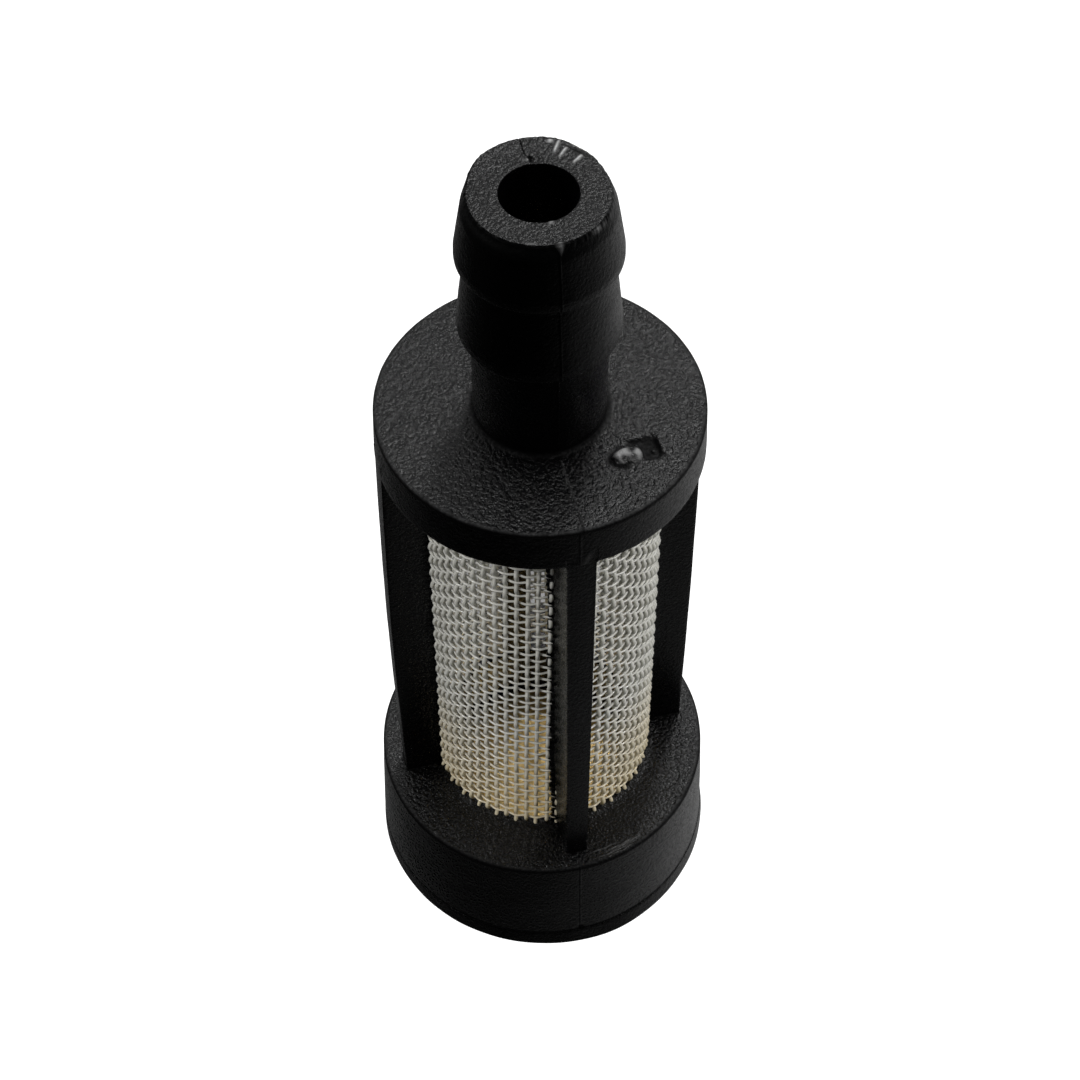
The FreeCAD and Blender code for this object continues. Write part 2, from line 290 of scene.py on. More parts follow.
def end_face_marks(marks, r, z, a, nr, nz):
    """Flash, ragged edge, lip, cut, scuffs, crack and nicks of the tail's end."""
    x, y = r * np.cos(a), r * np.sin(a)
    face = ramp(z, TIP - 0.35, TIP - 0.02)

    # small triangle of flash under the front edge
    flash = bell(r * wrap(a - seen_from(15.8)), 0.03 + 0.1 * ramp(z, TIP - 0.55, TIP - 0.08))
    flash = flash * ramp(z, TIP - 0.55, TIP - 0.2) * (nr > 0.3)
    marks.push = marks.push + 0.06 * flash
    marks.add_pale(0.3 * flash)

    # ragged outer edge
    edge = bell(z - (TIP - 0.1), 0.16) * bell(r - 2.84, 0.16)
    ragged = noise3(a * 14 + 5, a * 14 + 5, a * 0) * 0.5 + noise3(a * 31 + 5, a * 31, a * 0) * 0.5
    marks.push = marks.push + 0.035 * edge * ragged

    # lip at the back, and a straight cut with a dull groove at the back right
    lip = ramp(np.cos(wrap(a - seen_from(191))), 0.3, 0.95)
    lip = lip * ramp(z, TIP - 1.3, TIP - 0.05) * ramp(r, 2.1, 2.75)
    marks.dr = marks.dr + 0.24 * lip
    marks.dz = marks.dz + 0.05 * lip
    turn = wrap(a - seen_from(149))
    from_cut = r * np.cos(turn) - 2.56
    cut = bell(r * np.sin(turn), 0.42) * face
    marks.push = marks.push - 0.14 * bell(from_cut, 0.04) * cut - 0.07 * ramp(from_cut, 0.0, 0.06) * cut
    marks.add_pale(0.10 * ramp(from_cut, 0.04, 0.1) * cut)
    marks.add_dull(bell(from_cut, 0.05) * cut * (z > TIP - 0.4))

    for degrees, radius, length, width, tilt in SCUFFS:
        along = r - radius
        across = radius * wrap(a - seen_from(degrees)) + tilt * along
        scuff = np.exp(-(along / length) ** 4 - (across / width) ** 2) * face
        marks.push = marks.push + 0.04 * scuff
        marks.add_pale(scuff)

    # crack at the back, and a torn spot where it nears the bore
    back = PART_ANGLE + math.pi
    across = r * wrap(a - back - 0.008 * np.sin(r * 9)) - 0.08 * (r - 2.4)
    crack = bell(across, 0.022) * ramp(r, 1.9, 2.1) * (nz > 0.3) * face
    marks.push = marks.push - 0.06 * crack
    torn = bell(r - 1.9, 0.22) * bell(r * wrap(a - seen_from(-171)), 0.3) * face * (nz > 0.3)
    bits = noise3(x * 7 + 11, y * 7 + 3, z * 0)
    marks.push = marks.push + 0.06 * torn * bits
    marks.push = marks.push - 0.08 * torn * ramp(-bits, 0.0, 0.4)
    marks.add_pale(0.3 * torn * ramp(bits, 0.35, 0.7))

    for degrees, radius, length, width, strength in NICKS:
        nick = bell(r - radius, length) * bell(radius * wrap(a - seen_from(degrees)), width) * face
        marks.push = marks.push + 0.02 * nick
        marks.add_pale(strength * nick)


def gate_mark(marks, r, z, a, nz):
    """Torn blob on the flange where the runner was broken off, with a groove round
    one side, a pit beside it that holds a small island, and a short streak."""
    x, y = r * np.cos(a), r * np.sin(a)
    on_top = (nz > 0.7) & (r > 3.4) & (z < FLANGE_TOP + 0.5)
    outward = x * math.cos(GATE_ANGLE) + y * math.sin(GATE_ANGLE) - GATE_R
    sideways = -x * math.sin(GATE_ANGLE) + y * math.cos(GATE_ANGLE)
    across = outward * 0.82 - sideways * 0.57
    along = outward * 0.57 + sideways * 0.82

    oval = np.sqrt((across / (0.5 + 0.04 * along)) ** 2 + (along / 0.74) ** 2)
    blob = 1 - ramp(oval, 0.6, 1.0)
    lumps = noise3(x * 3.5 + 7, y * 3.5 + 2, z * 0)
    groove = bell(oval - 1.1, 0.1) * ramp(-along, -0.1, 0.3)
    pit = np.exp(-(np.abs(across + 0.19) / 0.54) ** 6 - (np.abs(along - 1.0) / 0.37) ** 6)
    bar = bell(across + 0.64, 0.11) * ramp(along, 0.0, 0.4) * ramp(-along, -1.0, -0.7)
    pit = np.maximum(pit, 0.8 * bar)
    island = np.exp(-((across + 0.03) / 0.14) ** 2 - ((along - 1.12) / 0.12) ** 2)
    u, v = across - 0.3, along - 1.46
    streak = bell(u * 0.58 - v * 0.82, 0.03) * bell(u * 0.82 + v * 0.58, 0.22)

    relief = 0.13 * blob * (1 + 0.35 * lumps) - 0.09 * groove
    relief = relief - 0.24 * pit + 0.17 * island * pit - 0.04 * streak
    marks.dz = marks.dz + np.where(on_top, relief, 0)
    marks.add_pale(np.where(on_top, 0.6 * blob * ramp(lumps, -0.6, 0.6) + 0.16 * island, 0))
    hollow = np.maximum(np.maximum(groove, streak), pit * (1 - island))
    marks.add_dull(np.where(on_top, hollow, 0))


def dull_edges(marks, r, z, a, nr):
    """Places that hold no shine: the flange's rim, the foot of the tail, the front
    left under the end face, and the parting line of the flange's wall."""
    marks.add_dull(bell(r - FLANGE_R, 0.13) * bell(z - FLANGE_TOP + 0.04, 0.09))
    marks.add_dull(bell(r - 2.9, 0.13) * bell(z - FLANGE_TOP - 0.06, 0.14))
    under = bell(wrap(a - seen_from(-42)), 0.75) * bell(z - TIP + 0.3, 0.2) * (nr > 0.6)
    marks.add_dull(0.8 * under)
    split = bell(r * wrap(a - PART_ANGLE + MOULD_STEP + 0.009), 0.03)
    marks.add_dull(0.5 * split * (z < FLANGE_TOP - 0.1) * (nr > 0.5))


def wall_facet(marks, r, z, a, nr):
    """Small raised facet on the flange's wall, beside the parting line, with a painted highlight: its
    pale colour stands in for the light it catches.
    """
    on_wall = (nr > 0.5) & (z < FLANGE_TOP)
    height = z - 30.65
    across = r * wrap(a - seen_from(15.3)) - 0.42 * height
    facet = np.exp(-(across / 0.14) ** 2) * bell(height, 0.3)
    marks.push = marks.push + np.where(on_wall, 0.03 * facet, 0)
    # painted highlight: the facet's pale colour stands in for the light on it
    marks.add_pale(np.where(on_wall, 0.22 * facet, 0))


def head_marks(r, z, a, nr, nz):
    """All the small marks of the flange and the hose tail."""
    marks = Marks(r)
    mould_lines(marks, r, z, a, nr, nz)
    end_face_marks(marks, r, z, a, nr, nz)
    gate_mark(marks, r, z, a, nz)
    dull_edges(marks, r, z, a, nr)
    wall_facet(marks, r, z, a, nr)
    return marks.result()


def base_marks(r, z, a, nr, nz):
    """Parting line, waviness and scratches of the base ring."""
    marks = Marks(r)
    x, y = r * np.cos(a), r * np.sin(a)
    outside = ((nr > 0.3) & (r > 7)) | (nz > 0.5)
    wavy = 0.014 * noise3(x / 2.2, y / 2.2 + 8, z / 2.2)
    wavy = wavy + 0.005 * noise3(x / 0.7, y / 0.7, z / 0.7 + 4)
    broken = 0.6 + 0.4 * noise3(x * 1.9, y * 1.9, z * 1.3 + 8)
    ridge = parting_ridge(r, z, a, 0.02, 0.05) * broken * (nr > 0.3)
    marks.push = np.where(outside, wavy + ridge, 0)

    shoulder = (nz > 0.7) & (r > 6.6)
    for degrees, span, radius in SCRATCHES:
        line = bell(r - radius - 0.02 * np.sin(a * 60), 0.028)
        line = line * bell(wrap(a - seen_from(degrees)), math.radians(span))
        marks.push = marks.push + np.where(shoulder, 0.012 * line, 0)
        marks.add_pale(np.where(shoulder, 0.3 * line, 0))

    # pinch of dirt where the parting line meets the cap's seam
    spot = bell(r * wrap(a - seen_from(13.2)), 0.13) * bell(z - 1.25, 0.12) * (nr > 0.3)
    split = bell(r * wrap(a - PART_ANGLE + MOULD_STEP + 0.008), 0.035) * (nr > 0.5)
    marks.push = marks.push - 0.08 * spot - 0.008 * split
    marks.add_dull(np.maximum(spot, 0.4 * split))
    marks.add_dull(bell(r - 8.0, 0.14) * bell(z - SHOULDER + 0.05, 0.11))
    marks.add_dull((z < CAP_TOP + 0.1) * 1.0)

    # the plastic creeps a little way up the cloth
    uneven = 1 + 0.5 * noise3(x * 1.3, y * 1.3 + 5, z * 0)
    marks.dz = 0.1 * bell(r - 5.2, 0.3) * uneven * (nz > 0.7)
    return marks.result()


# ---------------------------------------------------------------- cage
FINE_ZONES = [
    (seen_from(52), math.radians(16), math.radians(0.5)),      # gate mark
    (seen_from(155), math.radians(36), math.radians(0.7)),     # sheared edge and scuffs
    (PART_ANGLE, math.radians(2.4), math.radians(0.2)),
    (PART_ANGLE + math.pi, math.radians(2.4), math.radians(0.25)),
]


def head_step(p, q):
    """Point spacing along the head's outline: fine where there is detail."""
    middle = (p + q) / 2
    if middle[0] > 3.0 and abs(middle[1] - FLANGE_TOP) < 0.1:
        return 0.07
    if middle[1] > 43.5 and middle[0] > 1.6:
        return 0.06
    if middle[0] < 1.7 or middle[1] < FLANGE_LOW + 0.9 and middle[0] < 6.9:
        return 0.8
    return 0.16


def make_head():
    outline = rounded([
        (BORE_R, ROOF, 0.0),
        (RIB_IN_R + 0.02, ROOF, 0.0),
        (RIB_IN_R + 0.02, FLANGE_LOW, 0.05),
        (FLANGE_R + 0.08, FLANGE_LOW, 0.03),
        (FLANGE_R + 0.01, FLANGE_TOP, 0.08),
        (2.82, FLANGE_TOP, 0.17),
        (2.82, 37.22, 0.12),
        (3.35, 37.48, 0.13),
        (3.35, 37.9, 0.14),
        (3.0, 41.22, 0.14),
        (3.36, 41.5, 0.14),
        (3.35, 41.9, 0.16),
        (3.04, 43.9, 0.8),
        (2.83, 44.5, 0.1),
        (2.76, TIP, 0.035),
        (BORE_R, TIP, 0.05),
    ], head_step)
    return lathe("cage_head", outline, columns(300, FINE_ZONES), head_marks)


def make_base_ring():
    def step(p, q):
        """Finest on the shoulder, where the scratches are."""
        r, z = (p + q) / 2
        if r > 7.2 and z > SHOULDER - 0.15:
            return 0.05
        return 0.14 if r > 5.5 and z > 1.1 else 0.7
    outline = rounded([
        (4.9, CAP_TOP, 0.0),
        (6.15, CAP_TOP, 0.0),
        (6.15, CAP_TOP + 1.25, 0.0),
        (7.05, CAP_TOP + 1.25, 0.0),
        (7.05, CAP_TOP, 0.0),
        (8.245, CAP_TOP, 0.06),
        (8.0, SHOULDER, 0.13),
        (7.1, SHOULDER, 0.0),
        (4.97, SHOULDER, 0.08),
        (4.9, SHOULDER - 1.3, 0.0),
    ], step)
    scratched = (seen_from(28), math.radians(13), math.radians(0.5))
    return lathe("cage_base", outline, columns(360, FINE_ZONES[2:] + [scratched]), base_marks)


# outward bow in the middle, and how far the plastic spreads behind the cloth on
# the right and on the left, for the ribs at 45, 135, 225 and 315 degrees
RIB_SHAPES = [(0.06, 0.1, 0.14), (0.04, 0.1, 0.1), (0.15, 0.2, 0.1), (0.03, 0.08, 0.4)]
# half of a rib's section: distance from the axis, share of the half width, and
# share of the spread, which is only behind the cloth
RIB_HALF = [
    (RIB_IN_R, 0.0, 0), (RIB_IN_R, 0.5, 0.4), (RIB_IN_R + 0.03, 0.96, 1), (5.14, 1.0, 1),
    (5.2, 1.0, 0.8), (5.27, 1.0, 0.3), (5.4, 1.0, 0.12), (5.56, 1.0, 0.04), (5.7, 1.0, 0),
    (6.0, 1.0, 0), (6.3, 1.0, 0), (6.6, 1.0, 0), (6.85, 1.0, 0), (6.93, 0.985, 0),
    (6.98, 0.95, 0), (FLANGE_R, 0.88, 0), (FLANGE_R, 0.6, 0), (FLANGE_R, 0.3, 0),
]
RIB_FOOT_WIDTH, RIB_HEAD_WIDTH = 0.52, 0.65   # half widths
FOOT_FILLET, HEAD_FILLET = 0.07, 0.1


def fillet_flare(gap, radius):
    """How far a fillet stands out at this distance from the face that it meets."""
    if gap >= radius:
        return 0.0
    k = min(1 - gap / radius, 0.97)
    return radius * (1 - math.sqrt(1 - k ** 2))


def noise_at(x, y, z):
    return float(noise3(np.array(x), np.array(y), np.array(z)))


def make_rib(index):
    """One rib: flush with the flange outside, and flowed round the cloth inside."""
    centre = math.pi / 4 + index * math.pi / 2
    low, high = SHOULDER - 0.6, FLANGE_LOW + 0.75
    levels = np.unique(np.concatenate([
        np.arange(low, high + 0.01, 0.1),
        SHOULDER + np.arange(0, 0.4, 0.03),
        FLANGE_LOW - np.arange(0, 0.3, 0.03),
    ]).round(4))
    section = [(d, s, f, 1) for d, s, f in RIB_HALF] + [(FLANGE_R, 0.0, 0, 1)]
    section += [(d, s, f, -1) for d, s, f in reversed(RIB_HALF[1:])]
    bow, flow_right, flow_left = RIB_SHAPES[index]
    verts = []
    for z in levels:
        t = min(max((z - SHOULDER) / (FLANGE_LOW - SHOULDER), 0), 1)
        width = RIB_FOOT_WIDTH + (RIB_HEAD_WIDTH - RIB_FOOT_WIDTH) * t
        flare = fillet_flare(max(z - SHOULDER, 0.0), FOOT_FILLET)
        flare += fillet_flare(max(FLANGE_LOW - z, 0.0), HEAD_FILLET)
        for distance, share, flow, side in section:
            ripple = 0.5 + 0.5 * math.sin(2 * math.pi * z / WEFT_PITCH + side * 1.3 + index)
            blot = noise_at(z * 0.9 + 5 * index, side * 3.3 + 7, 0.5)
            spread = flow_right if side > 0 else flow_left
            extra = flow * (spread * (0.75 + 0.5 * blot) + 0.07 * ripple)
            across = side * (width * share + (flare + extra) * min(1, share * 1.2))
            reach = distance
            if distance > 6.6 and z < SHOULDER + FOOT_FILLET:
                reach += flare * 0.8
            if distance > 6.8:
                reach += 0.075 + bow * math.sin(math.pi * t)
            if distance == FLANGE_R:
                reach += math.sqrt(FLANGE_R ** 2 - across ** 2) - FLANGE_R
                reach -= 0.06 * float(ramp(np.array(z), FLANGE_LOW + 0.1, FLANGE_LOW + 0.6))
            if distance > 6.9 and z < FLANGE_LOW:
                reach += 0.006 * noise_at(z * 0.8, index * 3.1, 2.0)
            verts.append((reach * math.cos(centre) - across * math.sin(centre),
                          reach * math.sin(centre) + across * math.cos(centre), z))
    cols, rows = len(section), len(levels)
    faces = grid_faces(rows, cols, False, True)
    faces.append(tuple(reversed(range(cols))))
    faces.append(tuple((rows - 1) * cols + j for j in range(cols)))
    return make_object("cage_rib_%d" % index, verts, faces)


def unite(target, others):
    for other in others:
        modifier = target.modifiers.new("unite", "BOOLEAN")
        modifier.operation = "UNION"
        modifier.solver = "MANIFOLD"
        modifier.object = other
    depsgraph = bpy.context.evaluated_depsgraph_get()
    mesh = bpy.data.meshes.new_from_object(target.evaluated_get(depsgraph))
    target.modifiers.clear()
    target.data = mesh
    for other in others:
        bpy.data.objects.remove(other)
    return target


def soften(obj, degrees):
    """Smooth shading, with edges sharper than this kept sharp."""
    mesh = obj.data
    mesh.polygons.foreach_set("use_smooth", [True] * len(mesh.polygons))
    mesh.set_sharp_from_angle(angle=math.radians(degrees))


# ---------------------------------------------------------------- woven screen
WARP_R, WEFT_R = 0.1, 0.055
WARP_COUNT = 66
WEFT_PITCH = 0.485
WARP_CRIMP = 0.085
WEFT_CRIMP = 0.045
CLOTH_LOW, CLOTH_HIGH = SHOULDER - 0.9, 31.1
WARP_ZERO = seen_from(-11.75)     # the first warp, at the height where it stands straight
SKEW = math.radians(0.14)         # the warps lean a little, per mm of height
SKEW_ZERO = 26.8


def tube(path, radius, sides, closed):
    """Vertices and faces of a round thread along a path of points."""
    path = np.asarray(path)
    if closed:
        along = np.roll(path, -1, 0) - np.roll(path, 1, 0)
    else:
        along = np.gradient(path, axis=0)
    along /= np.linalg.norm(along, axis=1)[:, None]
    out = path * [1, 1, 0]
    out /= np.linalg.norm(out, axis=1)[:, None]
    side = np.cross(along, out)
    side /= np.linalg.norm(side, axis=1)[:, None]
    out = np.cross(side, along)
    turn = np.arange(sides) * 2 * math.pi / sides
    ring = np.cos(turn)[None, :, None] * out[:, None, :] + np.sin(turn)[None, :, None] * side[:, None, :]
    verts = (path[:, None, :] + radius * ring).reshape(-1, 3)
    faces = grid_faces(len(path), sides, closed, True)
    if not closed:
        faces.append(tuple(reversed(range(sides))))
        faces.append(tuple((len(path) - 1) * sides + j for j in range(sides)))
    return verts, faces


def make_cloth():
    """Plain weave: upright warps and level rings of weft, over and under in turn."""
    random = np.random.default_rng(21)
    verts, faces, count = [], [], 0

    def add(path, radius, sides, closed):
        nonlocal faces, count
        v, f = tube(path, radius, sides, closed)
        verts.append(v)
        faces += [tuple(i + count for i in face) for face in f]
        count += len(v)

    heights = np.arange(CLOTH_LOW, CLOTH_HIGH + 0.01, WEFT_PITCH / 6)
    rows = np.arange(SHOULDER - 0.01 - WEFT_PITCH, CLOTH_HIGH - 0.1, WEFT_PITCH)
    for k in range(WARP_COUNT):
        sign = 1 if k % 2 else -1
        lean = random.normal(0, 0.0022)
        wander = 0.0035 * noise3(heights * 0.35, heights * 0 + k * 1.7, heights * 0)
        angle = WARP_ZERO + 2 * math.pi * k / WARP_COUNT + lean + SKEW * (heights - SKEW_ZERO) + wander
        radius = SCREEN_R + sign * WARP_CRIMP * np.cos(math.pi * (heights - rows[0]) / WEFT_PITCH)
        add(np.stack([radius * np.cos(angle), radius * np.sin(angle), heights], 1), WARP_R, 8, False)

    steps = WARP_COUNT * 6
    turn = np.arange(steps) * 2 * math.pi / steps
    swing = np.cos(turn * WARP_COUNT / 2)
    for j, level in enumerate(rows):
        sign = -1 if j % 2 else 1
        radius = SCREEN_R + sign * WEFT_CRIMP * swing
        wander = 0.03 * noise3(np.cos(turn) * 2.3 + 9, np.sin(turn) * 2.3 + 9, turn * 0 + j * 1.3)
        z = level + random.normal(0, 0.008) + wander
        angle = turn + WARP_ZERO + SKEW * (level - SKEW_ZERO)
        add(np.stack([radius * np.cos(angle), radius * np.sin(angle), z], 1), WEFT_R, 7, True)
    return make_object("screen_cloth", np.vstack(verts), faces)


# ---------------------------------------------------------------- weight and cap
WEIGHT_R = 4.8
WEIGHT_TOP = CAP_TOP + 2.8
WEIGHT_CHAMFER = 0.25
RING_PITCH = 0.36                 # of the turning marks
CAP_RIM_TOP = 0.965               # the seam is the gap between this and CAP_TOP


def open_outline(corners, step):
    """As rounded(), for an outline that goes out from the axis and back to it."""
    dense = rounded(corners, step)
    end = next(k for k in range(1, len(dense)) if dense[k][0] < 1e-6)
    return dense[:end + 1]


def make_weight():
    outline = open_outline([
        (0.0, CAP_TOP, 0.0),
        (WEIGHT_R - WEIGHT_CHAMFER, CAP_TOP, 0.04),
        (WEIGHT_R, CAP_TOP + WEIGHT_CHAMFER, 0.05),
        (WEIGHT_R, WEIGHT_TOP - WEIGHT_CHAMFER, 0.05),
        (WEIGHT_R - WEIGHT_CHAMFER, WEIGHT_TOP, 0.04),
        (0.55, WEIGHT_TOP, 0.05),
        (0.35, WEIGHT_TOP + 0.06, 0.05),
        (0.0, WEIGHT_TOP + 0.07, 0.0),
    ], lambda p, q: 0.12 if (p[1] + q[1]) / 2 > WEIGHT_TOP - 0.3 else 0.6)

    def facing(r, z, a):
        """Shallow rings on the top face, left by the lathe tool."""
        upper = (z > WEIGHT_TOP - 0.02) & (r < 4.5) & (r > 0.6)
        rings = 0.5 + 0.5 * np.cos(r * 2 * math.pi / RING_PITCH)
        return r, z - np.where(upper, 0.008 * rings, 0)
    return solid_disc("weight_disc", outline, columns(160, []), facing)


def make_cap():
    outline = open_outline([
        (0.0, 0.0, 0.0),
        (7.6, 0.0, 0.2),
        (8.33, 0.015, 0.05),
        (8.255, CAP_RIM_TOP, 0.03),
        (7.0, CAP_RIM_TOP, 0.0),
        (7.0, 2.2, 0.05),
        (6.2, 2.2, 0.05),
        (6.2, 0.985, 0.0),
        (0.0, 0.985, 0.0),
    ], lambda p, q: 0.12 if (p[0] + q[0]) / 2 > 7.9 else 0.8)

    def worn(r, z, a):
        """The rim is a little uneven, and stands aside most at its lower edge."""
        x, y = r * np.cos(a), r * np.sin(a)
        rim = ramp(r, 7.6, 8.1)
        aside = 0.04 * np.cos(wrap(a - seen_from(90))) + 0.1 * bell(wrap(a - seen_from(22)), 0.35)
        uneven = 0.02 * noise3(x / 1.5, y / 1.5, z / 1.5)
        return r + rim * (aside * (1 - 0.8 * z / CAP_RIM_TOP) + uneven), z
    return solid_disc("base_cap_disc", outline, columns(360, []), worn)


# ---------------------------------------------------------------- materials
def new_material(name):
    material = bpy.data.materials.new(name)
    material.use_nodes = True
    tree = material.node_tree
    shader = tree.nodes["Principled BSDF"]
    return material, tree, shader


def node(tree, kind, **inputs):
    made = tree.nodes.new(kind)
    for key, value in inputs.items():
        made.inputs[key.replace("_", " ")].default_value = value
    return made


def noise_node(tree, coords, scale, detail=3.0, roughness=0.55):
    made = node(tree, "ShaderNodeTexNoise", Scale=scale, Detail=detail, Roughness=roughness)
    tree.links.new(coords.outputs["Object"], made.inputs["Vector"])
    return made


def remap(tree, source, low, high, to_low, to_high):
    """Socket with the source's span low to high turned into to_low to to_high."""
    made = tree.nodes.new("ShaderNodeMapRange")
    for name, value in (("From Min", low), ("From Max", high), ("To Min", to_low), ("To Max", to_high)):
        made.inputs[name].default_value = value
    tree.links.new(source, made.inputs["Value"])
    return made.outputs["Result"]


def mix_colour(tree, factor, first, second):
    """Socket with a blend of two colours or sockets: first at 0, second at 1."""
    made = tree.nodes.new("ShaderNodeMix")
    made.data_type = "RGBA"
    tree.links.new(factor, made.inputs[0])
    for socket, value in ((made.inputs[6], first), (made.inputs[7], second)):
        if isinstance(value, tuple):
            socket.default_value = (*value, 1.0)
        else:
            tree.links.new(value, socket)
    return made.outputs[2]


def bump(tree, height, strength, distance, under=None):
    made = node(tree, "ShaderNodeBump", Strength=strength, Distance=distance)
    tree.links.new(height, made.inputs["Height"])
    if under:
        tree.links.new(under.outputs["Normal"], made.inputs["Normal"])
    return made


def plastic(name, grain_depth):
    """Black moulded nylon: spark-eroded grain, deep on level faces and shallow on
    the walls, which also varies the gloss. The wear attribute gives pale stress
    marks and a painted highlight above zero, and dull places below it."""
    material, tree, shader = new_material(name)
    coords = tree.nodes.new("ShaderNodeTexCoord")
    grain = noise_node(tree, coords, 6500, 1.0, 0.6)
    fine = noise_node(tree, coords, 15000, 2.0, 0.6)
    wear_and_highlight = tree.nodes.new("ShaderNodeAttribute")
    wear_and_highlight.attribute_name = "wear_and_highlight"
    tone = mix_colour(tree, remap(tree, grain.outputs["Fac"], 0.3, 0.7, 0.0, 1.0),
                      (0.006, 0.0062, 0.0068), (0.0008, 0.0008, 0.001))
    # pale above zero: stress marks, and the painted highlight of the wall facet
    tone = mix_colour(tree, wear_and_highlight.outputs["Fac"], tone, (0.9, 0.9, 0.9))
    tree.links.new(tone, shader.inputs["Base Color"])
    gloss = tree.nodes.new("ShaderNodeMath")
    gloss.operation = "ADD"
    tree.links.new(remap(tree, grain.outputs["Fac"], 0.3, 0.7, 0.1, 0.38), gloss.inputs[0])
    tree.links.new(remap(tree, wear_and_highlight.outputs["Fac"], -1.0, 0.0, 0.6, 0.0), gloss.inputs[1])
    tree.links.new(gloss.outputs[0], shader.inputs["Roughness"])
    facing = tree.nodes.new("ShaderNodeSeparateXYZ")
    tree.links.new(coords.outputs["Normal"], facing.inputs[0])
    level = remap(tree, facing.outputs["Z"], 0.5, 0.9, 0.3, 1.0)
    first = bump(tree, grain.outputs["Fac"], 0.8, grain_depth)
    tree.links.new(level, first.inputs["Strength"])
    second = bump(tree, fine.outputs["Fac"], 0.5, grain_depth * 0.4, first)
    tree.links.new(second.outputs["Normal"], shader.inputs["Normal"])
    shader.inputs["IOR"].default_value = 1.5
    return material


BRASS_GLOW_FULL, BRASS_GLOW_NONE = 7, 15    # heights between which the painted golden glow of the brass weight fades out, mm


def thread():
    """Natural nylon thread: pale, slightly see-through, with a soft shine. Towards
    the base its colour is painted golden, standing in for the brass weight's light in the cloth."""
    material, tree, shader = new_material("screen_thread")
    coords = tree.nodes.new("ShaderNodeTexCoord")
    cloud = noise_node(tree, coords, 900, 3.0)
    streak = noise_node(tree, coords, 9000, 2.0)
    tone = mix_colour(tree, remap(tree, cloud.outputs["Fac"], 0.3, 0.7, 0.0, 1.0),
                      (0.66, 0.65, 0.585), (0.82, 0.81, 0.735))
    place = tree.nodes.new("ShaderNodeSeparateXYZ")
    tree.links.new(coords.outputs["Object"], place.inputs[0])
    # painted brass glow: the thread's colour turns golden low down, standing in for the weight's light
    brass_glow = remap(tree, place.outputs["Z"], BRASS_GLOW_FULL * MM, BRASS_GLOW_NONE * MM, 0.55, 0.0)
    tone = mix_colour(tree, brass_glow, tone, (0.86, 0.66, 0.33))
    tree.links.new(tone, shader.inputs["Base Color"])
    tree.links.new(remap(tree, streak.outputs["Fac"], 0.3, 0.7, 0.16, 0.3), shader.inputs["Roughness"])
    shader.inputs["Subsurface Weight"].default_value = 0.5
    shader.inputs["Subsurface Radius"].default_value = (1.0, 1.0, 0.95)
    shader.inputs["Subsurface Scale"].default_value = 0.0003
    shader.inputs["IOR"].default_value = 1.53
    grain = bump(tree, streak.outputs["Fac"], 0.2, 0.000004)
    tree.links.new(grain.outputs["Normal"], shader.inputs["Normal"])
    return material


def brass():
    """Turned brass, slightly tarnished."""
    material, tree, shader = new_material("weight_brass")
    coords = tree.nodes.new("ShaderNodeTexCoord")
    tarnish = noise_node(tree, coords, 600, 5.0, 0.65)
    rings = node(tree, "ShaderNodeTexWave", Scale=2600.0, Distortion=0.6, Detail=2.0)
    rings.wave_type = "RINGS"
    rings.rings_direction = "Z"
    tree.links.new(coords.outputs["Object"], rings.inputs["Vector"])
    tone = mix_colour(tree, remap(tree, tarnish.outputs["Fac"], 0.4, 0.75, 0.0, 1.0),
                      (0.86, 0.62, 0.25), (0.62, 0.42, 0.16))
    tree.links.new(tone, shader.inputs["Base Color"])
    tree.links.new(remap(tree, tarnish.outputs["Fac"], 0.3, 0.7, 0.26, 0.42), shader.inputs["Roughness"])
    shader.inputs["Metallic"].default_value = 1.0
    grooves = bump(tree, rings.outputs["Fac"], 0.25, 0.000006)
    tree.links.new(grooves.outputs["Normal"], shader.inputs["Normal"])
    return material


# ---------------------------------------------------------------- build the pieces
cage = unite(make_head(), [make_base_ring()] + [make_rib(k) for k in range(4)])
cage.name = "cage_moulding"
soften(cage, 38)
cloth = make_cloth()
weight = make_weight()
soften(weight, 32)
cap = make_cap()
soften(cap, 32)

black = plastic("cage_plastic", 0.00007)
for piece, material, node_name, slot in (
        (cage, black, "cage", "cage_plastic"), (cap, black, "base_cap", "cage_plastic"),
        (cloth, thread(), "screen", "screen_thread"), (weight, brass(), "weight", "weight_brass")):
    piece.data.materials.clear()
    piece.data.materials.append(material)
    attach(piece, "root")
    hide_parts(node_name)


# ---------------------------------------------------------------- stage, lights, camera
FLOOR_HALF = 600                  # mm
FLOOR_LEVEL = -0.02               # mm, just clear of the cap's underside
AIM = Vector((0, 0, 0.022))       # m, the filter's middle
LIGHT_DISTANCE = 0.6              # m
# how bright the room is in each direction, as (position, level) stops, where 1 is
# the middle of the glow and 0 the direction opposite to it
GLOW_ABOVE = ((0.0, 0.0), (0.5, 0.01), (0.7, 0.1), (0.86, 0.25), (1.0, 0.35))
GLOW_BELOW = ((0.0, 0.0), (0.64, 0.003), (0.71, 0.03), (0.79, 0.065), (0.9, 0.13), (1.0, 0.3))


def make_floor():
    corners = ((-1, -1), (1, -1), (1, 1), (-1, 1))
    verts = [(x * FLOOR_HALF, y * FLOOR_HALF, FLOOR_LEVEL) for x, y in corners]
    floor = make_object("floor", verts, [(0, 1, 2, 3)])
    material, _, shader = new_material("floor_pale")
    shader.inputs["Base Color"].default_value = (0.9, 0.9, 0.9, 1)
    shader.inputs["Roughness"].default_value = 0.9
    shader.inputs["Emission Color"].default_value = (1, 1, 1, 1)
    shader.inputs["Emission Strength"].default_value = 0.1
    floor.data.materials.append(material)
    floor.visible_glossy = False
    floor.visible_diffuse = False
    return floor


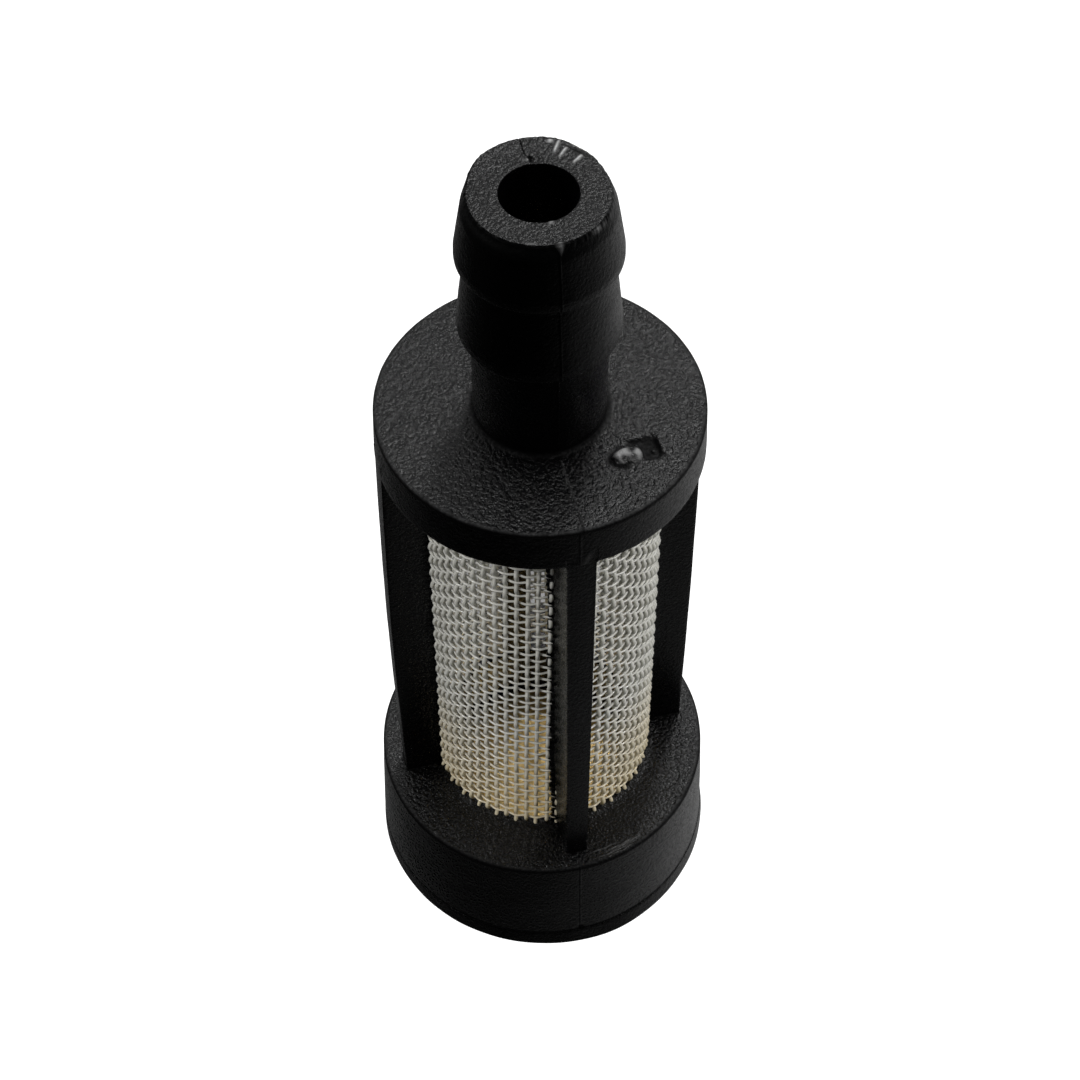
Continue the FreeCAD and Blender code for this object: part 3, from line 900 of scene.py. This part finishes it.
def place_light(light, toward, distance, receivers):
    """Put a light this far from the filter, aimed at its middle, and let it fall on
    the receivers alone."""
    obj = bpy.data.objects.new(light.name, light)
    bpy.context.scene.collection.objects.link(obj)
    turn = toward.to_track_quat("Z", "Y").to_matrix().to_4x4()
    obj.matrix_world = Matrix.Translation(AIM + distance * toward) @ turn
    group = bpy.data.collections.new(light.name + "_only")
    for receiver in receivers:
        group.objects.link(receiver)
    obj.light_linking.receiver_collection = group


def make_light(name, azimuth, elevation, size, power, receivers):
    """Round soft light, with its size in metres and its power in watts."""
    light = bpy.data.lights.new(name, "AREA")
    light.shape = "DISK"
    light.size = size
    light.energy = power
    place_light(light, direction(azimuth, elevation), LIGHT_DISTANCE, receivers)


def light_floor(floor):
    """Sun from the camera's side that lights only the floor, so that the filter
    stands on white and its shadow falls away behind it."""
    sun = bpy.data.lights.new("floor_sun", "SUN")
    sun.energy = 5.0
    sun.angle = math.radians(5.0)
    place_light(sun, direction(0, 57), LIGHT_DISTANCE, [floor])


def glow(tree, coords, azimuth, elevation, levels):
    """Brightness that falls away from one direction by the given stops."""
    toward = tree.nodes.new("ShaderNodeVectorMath")
    toward.operation = "DOT_PRODUCT"
    toward.inputs[1].default_value = direction(azimuth, elevation)
    tree.links.new(coords.outputs["Generated"], toward.inputs[0])
    shade = tree.nodes.new("ShaderNodeValToRGB")
    shade.color_ramp.interpolation = "EASE"
    stops = shade.color_ramp.elements
    for position, value in levels:
        if position == 0.0:
            stop = stops[0]
        elif position == 1.0:
            stop = stops[-1]
        else:
            stop = stops.new(position)
        stop.color = (value, value, value, 1)
    along = remap(tree, toward.outputs["Value"], -1.0, 1.0, 0.0, 1.0)
    tree.links.new(along, shade.inputs["Fac"])
    return shade.outputs["Color"]


def make_world():
    """Dim room: one glow behind the filter and above, one low on its right."""
    world = bpy.data.worlds.new("studio")
    bpy.context.scene.world = world
    world.use_nodes = True
    tree = world.node_tree
    sky = tree.nodes["Background"]
    coords = tree.nodes.new("ShaderNodeTexCoord")
    total = tree.nodes.new("ShaderNodeVectorMath")
    total.operation = "ADD"
    tree.links.new(glow(tree, coords, 163, 52, GLOW_ABOVE), total.inputs[0])
    tree.links.new(glow(tree, coords, 130, -50, GLOW_BELOW), total.inputs[1])
    tree.links.new(total.outputs[0], sky.inputs["Color"])
    sky.inputs["Strength"].default_value = 1.0


def make_camera():
    data = bpy.data.cameras.new("camera")
    data.lens = 78.41
    data.sensor_width = 36
    data.clip_start = 0.005
    camera = bpy.data.objects.new("camera", data)
    bpy.context.scene.collection.objects.link(camera)
    azimuth, roll = math.radians(CAMERA_AZIMUTH), math.radians(CAMERA_ROLL)
    right = Vector((math.cos(azimuth), math.sin(azimuth), 0))
    ahead = -direction(0, CAMERA_ELEVATION)
    up = right.cross(ahead)
    side = right * math.cos(roll) + up * math.sin(roll)
    up = up * math.cos(roll) - right * math.sin(roll)
    turn = Matrix((side, up, -ahead)).transposed().to_4x4()
    camera.matrix_world = Matrix.Translation(CAMERA_PLACE) @ turn
    bpy.context.scene.camera = camera


everything = [cage, cap, cloth, weight]
light_floor(make_floor())
make_world()
make_light("key_behind", 162, 53, 0.1, 0.4, everything)
make_light("overhead", 180, 82, 0.2, 0.6, [cage])
make_light("front_left", -60, 46, 0.16, 1.85, [cloth, weight])
make_light("front_right", 60, 46, 0.16, 1.95, [cloth, weight])
make_light("side_left", -115, 40, 0.12, 0.3, everything)
make_light("side_right", 115, 40, 0.12, 0.35, everything)
make_camera()
bpy.context.scene.view_settings.view_transform = "Standard"
